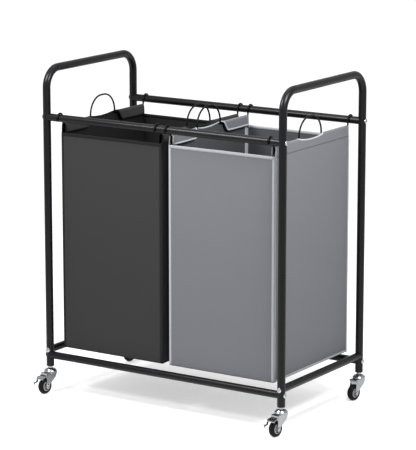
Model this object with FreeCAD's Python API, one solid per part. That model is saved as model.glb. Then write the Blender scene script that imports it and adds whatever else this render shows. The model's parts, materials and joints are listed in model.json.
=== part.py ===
"""Laundry sorter on wheels: a bolted tube frame, two hanging fabric bags and four swivel casters.

Millimetres.  +X to the right, +Y to the back, +Z up.
The origin is on the floor, under the centre of the frame.
"""
import FreeCAD, Part
import math
import os
from FreeCAD import Vector

# ---------------------------------------------------------------- driving dimensions
FRAME_WIDTH = 716.0        # outside of the posts, along X
FRAME_DEPTH = 400.0        # outside of the posts, along Y
FRAME_HEIGHT = 850.0       # floor to the top of the handles

POST_R = 10.0              # outside radius of posts and handles
POST_WALL = 1.2
RAIL_R = 9.5               # outside radius of every rail
RAIL_WALL = 1.0
HANDLE_BEND_R = 48.0       # bend of the handle, at the tube's centreline
LEG_LIFT = 17.0            # lower end of the leg tubes, above the casters' fork crowns
JOINT_Z = 390.0            # seam between leg and handle frame
NECK_LENGTH = 36.0         # swaged end of the leg, inside the handle frame
NECK_CLEARANCE = 0.05      # radial, neck in the handle frame
NECK_STEP = 4.0            # length over which the leg's bore narrows below the neck
SEAM_BEVEL = 0.5           # on both tube ends at the seam
BEAD_RISE = 6.0            # rolled line above the seam
BEAD_DEPTH = 0.45

TOP_RAIL_DROP = 131.0      # top of the handles to the centre of the top rails
BOTTOM_RAIL_RISE = 28.0    # lower end of the legs to the centre of the bottom rails
RAIL_CROSS_GAP = 1.39      # bottom rail to side rail, where they pass each other beside a post
SADDLE_CLEARANCE = 0.05    # rail end to post

BOLT_R = 2.95              # shank and thread of the frame bolts
BOLT_HEAD_R = 6.0
BOLT_HEAD_HEIGHT = 3.2
BOLT_HEAD_RIM = 1.0        # upright rim under the dome
BOLT_KEY_AF = 4.0          # hexagon key, across flats
BOLT_KEY_DEPTH = 1.8
BOLT_HOLE_R = 3.2          # through the post
BOLT_SEAT = 0.05           # head to post
BOLT_IN_NUT = 12.0         # thread engaged in the nut plug
THREAD_CLEARANCE = 0.05
NUT_PLUG_LENGTH = 16.0
NUT_PLUG_INSET = 2.0       # from the crown of the post to the plug's face
NUT_PLUG_CLEARANCE = 0.05

SOCKET_LENGTH = 18.0       # plastic socket in the leg's foot
SOCKET_FLANGE = 1.5
SOCKET_FLANGE_BEVEL = 0.3
SOCKET_LEAD_IN = 1.0
SOCKET_CLEARANCE = 0.05

# ---------------------------------------------------------------- casters
WHEEL_R = 21.0
TYRE_WIDTH = 16.0
TYRE_CROWN = 2.6           # drop of the tread from its middle to its shoulder
TYRE_SHOULDER = 2.2        # shoulder to the flat side, radially
TYRE_SHOULDER_WIDTH = 1.4
TYRE_SHOULDER_EDGE = 0.3
TYRE_SIDE_BEVEL = 0.6
TYRE_SEAT = 0.03           # radial, tyre on hub
TYRE_FORK_GAP = 1.3        # flat side of the tyre to the fork
HUB_R = 12.5               # seat of the tyre on the hub
HUB_BORE_CLEARANCE = 0.05  # radial, hub on axle
HUB_BOSS_R = 5.2
HUB_WEB_HALF = 2.0
HUB_RIM = 2.2              # thickness of the rim that carries the tyre
HUB_RIM_INSET = 0.4        # rim's edge short of the tyre's side
HUB_RIM_BEVEL = 0.8
AXLE_R = 3.0
AXLE_HEAD_R = 5.0
AXLE_HEAD_HEIGHT = 2.4
AXLE_HEAD_RIM = 0.9
AXLE_HEAD_FACE_R = 3.6
AXLE_HEAD_CROWN = 0.4
AXLE_SEAT = 0.1            # head and nut to the fork
AXLE_NUT_AF = 8.0
AXLE_NUT_HEIGHT = 3.2
AXLE_END = 1.0             # thread beyond the nut
CASTER_TRAIL = 21.0        # axle behind the swivel axis
CASTER_TURN = 8.0          # degrees, all four casters as they stand after a push
FORK_SIDE_GAP = 0.3        # hub boss to fork arm
FORK_THICKNESS = 1.6
FORK_CROWN_RISE = 13.0     # top of the fork's crown, above the tyre
FORK_CROWN_R = 15.5
FORK_END_R = 6.2           # round end of the arm, at the axle
FORK_END_BACK_ANGLE = 20.0
FORK_END_FRONT_ANGLE = 168.5
FORK_ARM_BACK = 13.5       # arm's back edge under the crown, from the swivel axis
FORK_ARM_FRONT = 20.0      # arm's front edge under the crown, on the wheel's side
FORK_KNEE_BACK = 9.0       # bend in the arm's back edge
FORK_KNEE_DROP = 12.0
FORK_LIP_REACH = 25.0      # crown lip over the tyre, from the swivel axis
FORK_LIP_BEND = 3.0
FORK_LIP_CORNER = 1.2
FORK_LIP_DROP = 4.6
FORK_LIP_WALL = 1.4
PIVOT_CLEARANCE = 0.08     # kingpin, axle and brake pin in their sheet holes
KINGPIN_R = 3.2
RIVET_R = 5.0              # kingpin's riveted head, under the crown
RIVET_RIM = 1.0
RIVET_FACE_R = 3.4
RIVET_HEIGHT = 2.4
RIVET_CROWN = 0.2
RIVET_GAP = 0.3
STEM_R = 4.0
STEM_NECK_AF = 10.4        # hexagon under the leg
STEM_NECK_GAP = 0.1        # hexagon to socket
STEM_END_GAP = 2.0         # stem's end below the socket's top
CAP_R = 16.5               # raceway cap
CAP_HEIGHT = 9.5
CAP_WALL = 1.4
CAP_LIP = 2.6              # upright rim at the cap's foot
CAP_SKIRT_R = 15.4
CAP_SKIRT_DROP = 5.4
CAP_SHOULDER_R = 12.2
CAP_SHOULDER_DROP = 2.2
CAP_TOP_R = 6.5
CAP_GAP = 1.0              # cap rim to fork crown
BALL_R = 1.9
BALL_COUNT = 9
BALL_CIRCLE_R = 11.0
BALL_GAP = 0.3

BRAKE_PIN_R = 1.5
BRAKE_PIN_HEAD_R = 2.5
BRAKE_PIN_HEAD = 0.9
BRAKE_PIN_SEAT = 0.05      # head to fork
BRAKE_EYE_R = 2.7
BRAKE_EYE_GAP = 0.4        # eye to the fork's arm
BRAKE_EAR_R = 4.2          # fork's ear round the brake pin
BRAKE_EAR_GAP = 0.8        # foot plate to that ear
BRAKE_PIN_REACH = 23.5     # from the swivel axis
BRAKE_PIN_RISE = 4.5       # above the tyre
BRAKE_PLATE_LENGTH = 16.0
BRAKE_PLATE_WIDTH = 22.0
BRAKE_PLATE_DROP = 3.6     # fall of the plate along its length
BRAKE_PLATE = 1.5
BRAKE_PLATE_RISE = 0.2     # plate's underside above the pin's centre, at the ear
BRAKE_CURL_R = 1.7
BRAKE_CURL_DROP = 0.6
BRAKE_HORN_REACH = 48.0    # tip of the side horn, from the swivel axis
BRAKE_HORN_RISE = 9.0      # tip of the side horn, above the axle
BRAKE_HORN_ROOT = 8.5      # root of the side horn, from the brake pin
BRAKE_HORN_GAP = 3.9       # fork's arm to horn
BRAKE_HORN_PLATE = 1.2

# ---------------------------------------------------------------- bags and hangers
BAG_MIDDLE_GAP = 20.0      # between the two bags
BAG_SIDE_GAP = 22.0        # bag to post, with the bags centred
BAG_TOP_DROP = 12.0        # top rail's centre to the top of the sleeves on the side walls
BAG_PANEL_DROP = 27.0      # front and back panels end this far below the sleeves
BAG_BOTTOM_RISE = 22.0     # bag's floor above the bottom rails' centre
BAG_WALL = 1.2
BAG_FLOOR = 2.0
BAG_CORNER_R = 4.0
BAG_RAIL_GAP = 2.5         # front and back panel to the rails, so that the bag lifts out
BAG_SHIFT = 3.0            # the pair hangs this far right of the frame's centre
SLEEVE_WIDTH = 11.0        # outside of the sleeve, across the wire
SLEEVE_DEPTH = 26.0        # top of the sleeve to the flap's free edge
SLEEVE_END_GAP = 6.0       # sleeve end short of the bag's front and back
HAND_CUT_CENTRE_Y = -6.0
HAND_CUT_LENGTH = 119.0
HAND_CUT_DEPTH = 8.0
FLAP_CUT_MARGIN = 9.0      # the flap is cut back further than the hand cut-out

WIRE_R = 2.25
WIRE_SLEEVE_GAP = 0.3
HOOK_GAP = 0.3             # hook to rail
HOOK_TAIL = 7.0            # outer end of the hook, below the rail's centre
HANDLE_ARCH_WIDTH = 106.0  # between wire centres
HANDLE_ARCH_RISE = 52.0    # wire centre, sleeve to top of arch
WIRE_BEND_R = 5.0

# ---------------------------------------------------------------- derived places
POST_X = FRAME_WIDTH / 2.0 - POST_R
POST_Y = FRAME_DEPTH / 2.0 - POST_R
HANDLE_Z = FRAME_HEIGHT - POST_R
WHEEL_Z = WHEEL_R
FORK_CROWN_Z = 2.0 * WHEEL_R + FORK_CROWN_RISE
BRAKE_PIN_Z = 2.0 * WHEEL_R + BRAKE_PIN_RISE
BRAKE_HORN_Z = WHEEL_Z + BRAKE_HORN_RISE
LEG_FOOT_Z = FORK_CROWN_Z + LEG_LIFT
TOP_RAIL_Z = FRAME_HEIGHT - TOP_RAIL_DROP
BOTTOM_RAIL_Z = LEG_FOOT_Z + BOTTOM_RAIL_RISE
SADDLE_R = POST_R + SADDLE_CLEARANCE
SIDE_RAIL_Z = BOTTOM_RAIL_Z + 2.0 * math.sqrt(RAIL_R ** 2 - SADDLE_R ** 2 / 2.0) + RAIL_CROSS_GAP
POST_BORE_R = POST_R - POST_WALL
RAIL_BORE_R = RAIL_R - RAIL_WALL
SOCKET_BOTTOM_Z = LEG_FOOT_Z - SOCKET_FLANGE
BAG_WIDTH = (FRAME_WIDTH - 4.0 * POST_R - BAG_MIDDLE_GAP) / 2.0 - BAG_SIDE_GAP
BAG_DEPTH = 2.0 * (POST_Y - RAIL_R - BAG_RAIL_GAP)
BAG_SPACING = BAG_WIDTH + BAG_MIDDLE_GAP
BAG_TOP_Z = TOP_RAIL_Z - BAG_TOP_DROP
BAG_BOTTOM_Z = BOTTOM_RAIL_Z + BAG_BOTTOM_RISE
PANEL_TOP_Z = BAG_TOP_Z - BAG_PANEL_DROP
SLEEVE_R = SLEEVE_WIDTH / 2.0
SLEEVE_AXIS_Z = BAG_TOP_Z - SLEEVE_R
SLEEVE_AXIS_X = BAG_WIDTH / 2.0 - SLEEVE_R
WIRE_Z = SLEEVE_AXIS_Z + SLEEVE_R - BAG_WALL - WIRE_R - WIRE_SLEEVE_GAP
HOOK_R = RAIL_R + WIRE_R + HOOK_GAP
FORK_INSIDE = TYRE_WIDTH / 2.0 + TYRE_FORK_GAP
FORK_OUTSIDE = FORK_INSIDE + FORK_THICKNESS
HUB_HALF = FORK_INSIDE - FORK_SIDE_GAP
CAP_BOTTOM_Z = FORK_CROWN_Z + CAP_GAP
CAP_TOP_Z = CAP_BOTTOM_Z + CAP_HEIGHT

X_AXIS = Vector(1, 0, 0)
Y_AXIS = Vector(0, 1, 0)
Z_AXIS = Vector(0, 0, 1)
CORNERS = {"front_left": (-1, -1), "front_right": (1, -1), "back_left": (-1, 1), "back_right": (1, 1)}


# ---------------------------------------------------------------- small helpers
def rod(radius, start, end):
    """Solid cylinder between two points."""
    direction = end.sub(start)
    return Part.makeCylinder(radius, direction.Length, start, direction)


def pipe(outer, inner, start, end):
    """Hollow cylinder between two points."""
    return rod(outer, start, end).cut(rod(inner, start, end))


def box(low, high):
    """Solid box between two opposite corners."""
    size = high.sub(low)
    return Part.makeBox(size.x, size.y, size.z, low)


def hexagon(across_flats, base, height):
    """Upright hexagonal prism."""
    reach = across_flats / math.sqrt(3.0)
    points = []
    for i in range(7):
        angle = math.radians(60.0 * i)
        points.append(base.add(Vector(reach * math.cos(angle), reach * math.sin(angle), 0)))
    return Part.Face(Part.makePolygon(points)).extrude(Vector(0, 0, height))


def turned(profile):
    """Revolve a closed (radius, height) outline about Z."""
    points = [Vector(r, 0, z) for r, z in profile]
    face = Part.Face(Part.makePolygon(points + [points[0]]))
    return face.revolve(Vector(0, 0, 0), Z_AXIS, 360)


def plate_yz(outline, x_low, x_high):
    """Flat plate between two X values; the outline is a closed wire in the plane x = 0."""
    plate = Part.Face(outline).extrude(Vector(x_high - x_low, 0, 0))
    plate.translate(Vector(x_low, 0, 0))
    return plate


def polygon_yz(pairs):
    """Closed polygon wire in the plane x = 0."""
    points = [Vector(0, y, z) for y, z in pairs]
    return Part.makePolygon(points + [points[0]])


def swept(radius, edges, start, direction):
    """Round bar along a path of lines and tangent arcs."""
    section = Part.Wire(Part.makeCircle(radius, start, direction))
    return Part.Wire(edges).makePipeShell([section], True, True)


def line(a, b):
    return Part.LineSegment(a, b).toShape()


def arc(a, middle, b):
    return Part.Arc(a, middle, b).toShape()


# ---------------------------------------------------------------- frame tubes
def handle_path(x):
    """Centreline of one inverted-U handle frame, from its front foot to its back foot."""
    r = HANDLE_BEND_R
    k = r * (1.0 - math.cos(math.radians(45)))
    front_foot = Vector(x, -POST_Y, JOINT_Z)
    front_low = Vector(x, -POST_Y, HANDLE_Z - r)
    front_mid = Vector(x, -POST_Y + k, HANDLE_Z - k)
    front_high = Vector(x, -POST_Y + r, HANDLE_Z)
    back_high = Vector(x, POST_Y - r, HANDLE_Z)
    back_mid = Vector(x, POST_Y - k, HANDLE_Z - k)
    back_low = Vector(x, POST_Y, HANDLE_Z - r)
    back_foot = Vector(x, POST_Y, JOINT_Z)
    edges = [line(front_foot, front_low), arc(front_low, front_mid, front_high), line(front_high, back_high)]
    edges += [arc(back_high, back_mid, back_low), line(back_low, back_foot)]
    return edges, front_foot


def seam_bevel(x, y, z, rise):
    """Ring that takes the sharp edge off a tube end; rise is +1 upwards or -1 downwards."""
    ring = turned([(POST_R - SEAM_BEVEL, 0), (POST_R + 1, 0), (POST_R + 1, rise * (SEAM_BEVEL + 1))])
    ring.translate(Vector(x, y, z))
    return ring


def bolt_hole(x, y, z, direction):
    """Clearance hole right through a post."""
    reach = direction * (POST_R + 2)
    centre = Vector(x, y, z)
    return rod(BOLT_HOLE_R, centre.sub(reach), centre.add(reach))


def handle_frame(x):
    """Inverted-U tube with the rolled line above each seam and the top rails' bolt holes."""
    edges, foot = handle_path(x)
    tube = swept(POST_R, edges, foot, Z_AXIS).cut(swept(POST_BORE_R, edges, foot, Z_AXIS))
    for y in (-POST_Y, POST_Y):
        bead = turned([(POST_R - BEAD_DEPTH, 0), (POST_R + 1, -1), (POST_R + 1, 1)])
        bead.translate(Vector(x, y, JOINT_Z + BEAD_RISE))
        tube = tube.cut(bead)
        tube = tube.cut(seam_bevel(x, y, JOINT_Z, 1))
        tube = tube.cut(bolt_hole(x, y, TOP_RAIL_Z, X_AXIS))
    return tube


def leg(x, y):
    """Leg tube; its swaged neck plugs into the handle frame."""
    neck_r = POST_BORE_R - NECK_CLEARANCE
    neck_bore = neck_r - POST_WALL
    profile = [(POST_BORE_R, LEG_FOOT_Z), (POST_R, LEG_FOOT_Z), (POST_R, JOINT_Z), (neck_r, JOINT_Z)]
    profile += [(neck_r, JOINT_Z + NECK_LENGTH), (neck_bore, JOINT_Z + NECK_LENGTH)]
    profile += [(neck_bore, JOINT_Z), (POST_BORE_R, JOINT_Z - NECK_STEP)]
    tube = turned(profile)
    tube.translate(Vector(x, y, 0))
    tube = tube.cut(seam_bevel(x, y, JOINT_Z, -1))
    tube = tube.cut(bolt_hole(x, y, BOTTOM_RAIL_Z, X_AXIS))
    return tube.cut(bolt_hole(x, y, SIDE_RAIL_Z, Y_AXIS))


def rail(start, end):
    """Rail tube between two post centres, with saddle ends that fit the posts."""
    tube = pipe(RAIL_R, RAIL_BORE_R, start, end)
    reach = Z_AXIS * (2 * RAIL_R)
    for point in (start, end):
        tube = tube.cut(rod(SADDLE_R, point.sub(reach), point.add(reach)))
    return tube


def rail_ends():
    """Every rail end: its post centre and the outward direction along the rail."""
    ends = []
    for sx in (-1, 1):
        for sy in (-1, 1):
            ends.append((Vector(sx * POST_X, sy * POST_Y, TOP_RAIL_Z), X_AXIS * sx))
            ends.append((Vector(sx * POST_X, sy * POST_Y, BOTTOM_RAIL_Z), X_AXIS * sx))
            ends.append((Vector(sx * POST_X, sy * POST_Y, SIDE_RAIL_Z), Y_AXIS * sy))
    return ends


def nut_plug(centre, outward):
    """Threaded steel plug fixed inside a rail's end."""
    outer_face = centre.sub(outward * (POST_R + NUT_PLUG_INSET))
    inner_face = outer_face.sub(outward * NUT_PLUG_LENGTH)
    plug = rod(RAIL_BORE_R - NUT_PLUG_CLEARANCE, inner_face, outer_face)
    thread = rod(BOLT_R + THREAD_CLEARANCE, inner_face.sub(outward), outer_face.add(outward))
    return plug.cut(thread)


def frame_bolt(centre, outward):
    """Button-head bolt from the outside of a post into the nut plug."""
    seat = centre.add(outward * (POST_R + BOLT_SEAT))
    tip = centre.sub(outward * (POST_R + NUT_PLUG_INSET + BOLT_IN_NUT))
    shank = rod(BOLT_R, tip, seat.add(outward * (BOLT_HEAD_RIM / 2.0)))
    dome = BOLT_HEAD_HEIGHT - BOLT_HEAD_RIM
    dome_r = (BOLT_HEAD_R ** 2 + dome ** 2) / (2 * dome)
    dome_centre = seat.add(outward * (BOLT_HEAD_HEIGHT - dome_r))
    head = rod(BOLT_HEAD_R, seat, seat.add(outward * BOLT_HEAD_HEIGHT))
    head = head.common(Part.makeSphere(dome_r, dome_centre))
    key = hexagon(BOLT_KEY_AF, Vector(0, 0, 0), BOLT_KEY_DEPTH + 1)
    key.rotate(Vector(0, 0, 0), Z_AXIS.cross(outward), 90)
    key.translate(seat.add(outward * (BOLT_HEAD_HEIGHT - BOLT_KEY_DEPTH)))
    return shank.fuse(head).removeSplitter().cut(key)


def stem_socket(x, y):
    """Plastic socket in the leg's foot, with a flange that closes the tube."""
    bore = STEM_R + THREAD_CLEARANCE
    body_r = POST_BORE_R - SOCKET_CLEARANCE
    top = LEG_FOOT_Z + SOCKET_LENGTH
    profile = [(bore, SOCKET_BOTTOM_Z), (POST_R - SOCKET_FLANGE_BEVEL, SOCKET_BOTTOM_Z)]
    profile += [(POST_R, SOCKET_BOTTOM_Z + SOCKET_FLANGE_BEVEL), (POST_R, LEG_FOOT_Z), (body_r, LEG_FOOT_Z)]
    profile += [(body_r, top - SOCKET_LEAD_IN), (body_r - SOCKET_LEAD_IN, top), (bore, top)]
    socket = turned(profile)
    socket.translate(Vector(x, y, 0))
    return socket


# ---------------------------------------------------------------- casters, at the swivel axis, trailing to -Y
def caster_stem():
    """Threaded stem, hexagonal neck and kingpin, riveted over under the fork's crown."""
    neck_bottom = CAP_TOP_Z
    neck_height = SOCKET_BOTTOM_Z - STEM_NECK_GAP - neck_bottom
    stem_top = LEG_FOOT_Z + SOCKET_LENGTH - STEM_END_GAP
    rivet_top = FORK_CROWN_Z - FORK_THICKNESS - RIVET_GAP
    rivet_face = rivet_top - RIVET_HEIGHT
    stem = rod(STEM_R, Vector(0, 0, neck_bottom), Vector(0, 0, stem_top))
    stem = stem.fuse(hexagon(STEM_NECK_AF, Vector(0, 0, neck_bottom), neck_height))
    stem = stem.fuse(rod(KINGPIN_R, Vector(0, 0, rivet_top - RIVET_RIM), Vector(0, 0, neck_bottom + 1)))
    rivet = turned([(0, rivet_top), (RIVET_R, rivet_top), (RIVET_R, rivet_top - RIVET_RIM),
                    (RIVET_FACE_R, rivet_face + RIVET_CROWN), (0, rivet_face)])
    return stem.fuse(rivet).removeSplitter()


def raceway_cap():
    """Pressed dome over the ball race, clamped under the stem's neck."""
    bore = KINGPIN_R + THREAD_CLEARANCE
    w = CAP_WALL
    skirt_z = CAP_TOP_Z - CAP_SKIRT_DROP
    shoulder_z = CAP_TOP_Z - CAP_SHOULDER_DROP
    outer = [(bore, CAP_TOP_Z), (CAP_TOP_R, CAP_TOP_Z), (CAP_SHOULDER_R, shoulder_z), (CAP_SKIRT_R, skirt_z)]
    outer += [(CAP_R, CAP_BOTTOM_Z + CAP_LIP), (CAP_R, CAP_BOTTOM_Z)]
    inner = [(CAP_R - w, CAP_BOTTOM_Z), (CAP_R - w, CAP_BOTTOM_Z + CAP_LIP)]
    inner += [(CAP_SKIRT_R - w, skirt_z - 0.3 * w), (CAP_SHOULDER_R - 0.6 * w, shoulder_z - w)]
    inner += [(CAP_TOP_R, CAP_TOP_Z - w), (bore, CAP_TOP_Z - w)]
    return turned(outer + inner)


def bearing_balls():
    """Ring of balls between the cap and the fork's crown."""
    balls = []
    for i in range(BALL_COUNT):
        angle = 2.0 * math.pi * i / BALL_COUNT
        x = BALL_CIRCLE_R * math.cos(angle)
        y = BALL_CIRCLE_R * math.sin(angle)
        balls.append(Part.makeSphere(BALL_R, Vector(x, y, FORK_CROWN_Z + BALL_GAP + BALL_R)))
    return balls


def on_arm_end(degrees):
    """Point on the round end of the fork's arm, in the plane x = 0."""
    angle = math.radians(degrees)
    return Vector(0, FORK_END_R * math.cos(angle) - CASTER_TRAIL, FORK_END_R * math.sin(angle) + WHEEL_Z)


def fork_arm_outline():
    """Side of the fork: wide under the crown, tapering to a round end at the axle."""
    base = FORK_CROWN_Z - FORK_THICKNESS / 2.0
    back_top = Vector(0, FORK_ARM_BACK, base)
    back_mid = Vector(0, FORK_KNEE_BACK, base - FORK_KNEE_DROP)
    back_low = on_arm_end(FORK_END_BACK_ANGLE)
    front_low = on_arm_end(FORK_END_FRONT_ANGLE)
    front_top = Vector(0, -FORK_ARM_FRONT, base)
    edges = [line(front_top, back_top), line(back_top, back_mid), line(back_mid, back_low)]
    edges += [arc(back_low, on_arm_end(-90), front_low), line(front_low, front_top)]
    return Part.Wire(edges)


def fork_lip(top):
    """Crown's edge turned down over the tyre, as an outline in the plane x = 0."""
    bend = -FORK_LIP_REACH + FORK_LIP_BEND
    inside = -FORK_LIP_REACH + FORK_LIP_WALL
    return polygon_yz([(bend, top), (-FORK_LIP_REACH, top - FORK_LIP_CORNER),
                       (-FORK_LIP_REACH, top - FORK_LIP_DROP), (inside, top - FORK_LIP_DROP),
                       (inside, top - FORK_THICKNESS - FORK_LIP_CORNER / 2.0), (bend, top - FORK_THICKNESS)])


def fork(with_brake):
    """Pressed steel fork: round crown, lip over the tyre and two tapering arms."""
    top = FORK_CROWN_Z
    low = top - FORK_THICKNESS
    crown = rod(FORK_CROWN_R, Vector(0, 0, low), Vector(0, 0, top))
    bridge = box(Vector(-FORK_OUTSIDE, -FORK_LIP_REACH + FORK_LIP_BEND, low), Vector(FORK_OUTSIDE, 0, top))
    body = crown.fuse(bridge).fuse(plate_yz(fork_lip(top), -FORK_OUTSIDE, FORK_OUTSIDE))
    for near in (-FORK_OUTSIDE, FORK_INSIDE):
        body = body.fuse(plate_yz(fork_arm_outline(), near, near + FORK_THICKNESS))
    body = body.removeSplitter()
    body = body.cut(rod(KINGPIN_R + PIVOT_CLEARANCE, Vector(0, 0, low - 1), Vector(0, 0, top + 1)))
    axle = rod(AXLE_R + PIVOT_CLEARANCE, Vector(-FORK_OUTSIDE - 1, -CASTER_TRAIL, WHEEL_Z),
               Vector(FORK_OUTSIDE + 1, -CASTER_TRAIL, WHEEL_Z))
    body = body.cut(axle)
    if with_brake:
        pin = rod(BRAKE_PIN_R + PIVOT_CLEARANCE, Vector(-FORK_OUTSIDE - 1, -BRAKE_PIN_REACH, BRAKE_PIN_Z),
                  Vector(FORK_OUTSIDE + 1, -BRAKE_PIN_REACH, BRAKE_PIN_Z))
        for near in (-FORK_OUTSIDE, FORK_INSIDE):
            ear = rod(BRAKE_EAR_R, Vector(near, -BRAKE_PIN_REACH, BRAKE_PIN_Z),
                      Vector(near + FORK_THICKNESS, -BRAKE_PIN_REACH, BRAKE_PIN_Z))
            body = body.fuse(ear)
        body = body.removeSplitter().cut(pin)
    return body


def axle_parts():
    """Axle bolt with a domed head, and its nut on the other side."""
    seat = FORK_OUTSIDE + AXLE_SEAT
    y, z = -CASTER_TRAIL, WHEEL_Z
    tail = -seat - AXLE_NUT_HEIGHT - AXLE_END
    bolt = rod(AXLE_R, Vector(tail, y, z), Vector(seat + AXLE_HEAD_RIM / 2.0, y, z))
    head = turned([(0, 0), (AXLE_HEAD_R, 0), (AXLE_HEAD_R, AXLE_HEAD_RIM),
                   (AXLE_HEAD_FACE_R, AXLE_HEAD_HEIGHT - AXLE_HEAD_CROWN), (0, AXLE_HEAD_HEIGHT)])
    head.rotate(Vector(0, 0, 0), Y_AXIS, 90)
    head.translate(Vector(seat, y, z))
    thread = rod(AXLE_R + THREAD_CLEARANCE, Vector(0, 0, -1), Vector(0, 0, AXLE_NUT_HEIGHT + 1))
    nut = hexagon(AXLE_NUT_AF, Vector(0, 0, 0), AXLE_NUT_HEIGHT).cut(thread)
    nut.rotate(Vector(0, 0, 0), Y_AXIS, -90)
    nut.translate(Vector(-seat, y, z))
    return [bolt.fuse(head).removeSplitter(), nut]


def on_axle(shape):
    """Lay a wheel piece made about Z onto the axle."""
    shape.rotate(Vector(0, 0, 0), Y_AXIS, 90)
    shape.translate(Vector(0, -CASTER_TRAIL, WHEEL_Z))
    return shape


def tyre():
    """Rubber tyre with a crowned tread and round shoulders."""
    h = TYRE_WIDTH / 2.0
    shoulder = WHEEL_R - TYRE_CROWN
    seat = HUB_R + TYRE_SEAT
    side_r = shoulder - TYRE_SHOULDER
    edge_r = shoulder - TYRE_SHOULDER_EDGE
    low_seat, high_seat = Vector(seat, 0, TYRE_SIDE_BEVEL - h), Vector(seat, 0, h - TYRE_SIDE_BEVEL)
    low_side, high_side = Vector(side_r, 0, -h), Vector(side_r, 0, h)
    low_edge = Vector(edge_r, 0, TYRE_SHOULDER_WIDTH - h)
    high_edge = Vector(edge_r, 0, h - TYRE_SHOULDER_WIDTH)
    tread = arc(low_edge, Vector(WHEEL_R, 0, 0), high_edge)
    edges = [line(low_seat, low_side), line(low_side, low_edge), tread]
    edges += [line(high_edge, high_side), line(high_side, high_seat), line(high_seat, low_seat)]
    ring = Part.Face(Part.Wire(edges)).revolve(Vector(0, 0, 0), Z_AXIS, 360)
    return on_axle(ring)


def hub():
    """Wheel centre: boss, thin web and the rim that carries the tyre."""
    bore = AXLE_R + HUB_BORE_CLEARANCE
    rim_in = HUB_R - HUB_RIM
    rim_edge = TYRE_WIDTH / 2.0 - HUB_RIM_INSET
    half = [(bore, HUB_HALF), (HUB_BOSS_R, HUB_HALF), (HUB_BOSS_R, HUB_WEB_HALF), (rim_in, HUB_WEB_HALF)]
    half += [(rim_in, rim_edge), (HUB_R, rim_edge - HUB_RIM_BEVEL)]
    profile = half + [(r, -z) for r, z in reversed(half)]
    return on_axle(turned(profile))


def brake_pedal():
    """Stamped pedal: hinge eye, foot plate with a curled edge, and a side horn with a flared tip."""
    y0, z0 = -BRAKE_PIN_REACH, BRAKE_PIN_Z
    eye_half = FORK_INSIDE - BRAKE_EYE_GAP
    half = BRAKE_PLATE_WIDTH / 2.0
    overlap = 0.6
    foot_y = y0 - BRAKE_EAR_R - BRAKE_EAR_GAP
    foot_low = z0 + BRAKE_PLATE_RISE
    neck_top = z0 + BRAKE_EYE_R - BRAKE_PLATE_RISE
    neck_low = z0 + BRAKE_EYE_R - BRAKE_PLATE
    tip_y = y0 - BRAKE_PLATE_LENGTH
    tip_low = z0 - BRAKE_PLATE_DROP - BRAKE_PLATE / 2.0
    curl_z = z0 - BRAKE_PLATE_DROP - BRAKE_CURL_DROP
    eye = rod(BRAKE_EYE_R, Vector(-eye_half, y0, z0), Vector(eye_half, y0, z0))
    neck = polygon_yz([(y0, neck_top), (y0, neck_low), (foot_y - overlap, foot_low),
                       (foot_y - overlap, foot_low + BRAKE_PLATE)])
    foot = polygon_yz([(foot_y, foot_low), (tip_y, tip_low), (tip_y, tip_low + BRAKE_PLATE),
                       (foot_y, foot_low + BRAKE_PLATE)])
    curl = rod(BRAKE_CURL_R, Vector(-half, tip_y, curl_z), Vector(half, tip_y, curl_z))
    body = eye.fuse(plate_yz(neck, -eye_half, eye_half)).fuse(plate_yz(foot, -half, half)).fuse(curl)
    body = body.fuse(brake_horn()).removeSplitter()
    bore = rod(BRAKE_PIN_R + PIVOT_CLEARANCE, Vector(-eye_half - 1, y0, z0), Vector(eye_half + 1, y0, z0))
    return body.cut(bore)


def brake_horn():
    """Narrow ear beside the tyre, joined to the foot plate by a strap; its tip is flared for a toe."""
    near_x = -FORK_OUTSIDE - BRAKE_HORN_GAP
    root_y, root_z = -BRAKE_PIN_REACH - BRAKE_HORN_ROOT, BRAKE_PIN_Z
    tip_y, tip_z = -BRAKE_HORN_REACH, BRAKE_HORN_Z
    root_edge = [(3.0, -1.0), (-2.5, -1.5)]
    flared_tip = [(4.0, 2.0), (0.0, 5.0), (-0.8, 3.8), (2.4, 0.0), (0.8, -4.2), (2.2, -4.6), (5.5, -1.0)]
    outline = [(root_y + dy, root_z + dz) for dy, dz in root_edge]
    outline += [(root_y - 6.0, tip_z + 3.0)]
    outline += [(tip_y + dy, tip_z + dz) for dy, dz in flared_tip]
    outline += [(root_y - 1.0, tip_z + 0.5)]
    plate = plate_yz(polygon_yz(outline), near_x, near_x + BRAKE_HORN_PLATE)
    strap_end = 1.0 - BRAKE_PLATE_WIDTH / 2.0
    strap = box(Vector(near_x, root_y - 1.5, root_z - 2.6), Vector(strap_end, root_y + 2.0, root_z - 0.2))
    return plate.fuse(strap)


def brake_pin():
    """Headed pin that carries the pedal between the fork's arms."""
    seat = FORK_OUTSIDE + BRAKE_PIN_SEAT
    reach = seat + BRAKE_PIN_HEAD / 2.0
    y, z = -BRAKE_PIN_REACH, BRAKE_PIN_Z
    pin = rod(BRAKE_PIN_R, Vector(-reach, y, z), Vector(reach, y, z))
    for side in (-1, 1):
        head = rod(BRAKE_PIN_HEAD_R, Vector(side * seat, y, z), Vector(side * (seat + BRAKE_PIN_HEAD), y, z))
        pin = pin.fuse(head)
    return pin.removeSplitter()


def placed(shape, name):
    """Move a caster piece from the swivel axis to its corner, turned as the casters stand."""
    sx, sy = CORNERS[name]
    copy = shape.copy()
    copy.rotate(Vector(0, 0, 0), Z_AXIS, -CASTER_TURN)
    copy.translate(Vector(sx * POST_X, sy * POST_Y, 0))
    return copy


# ---------------------------------------------------------------- bags
def rounded_block(half_x, half_y, low, high, radius):
    """Block with rounded upright edges."""
    block = box(Vector(-half_x, -half_y, low), Vector(half_x, half_y, high))
    upright = [e for e in block.Edges if abs(e.Vertexes[0].Z - e.Vertexes[1].Z) > 1.0]
    return block.makeFillet(radius, upright)


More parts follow.
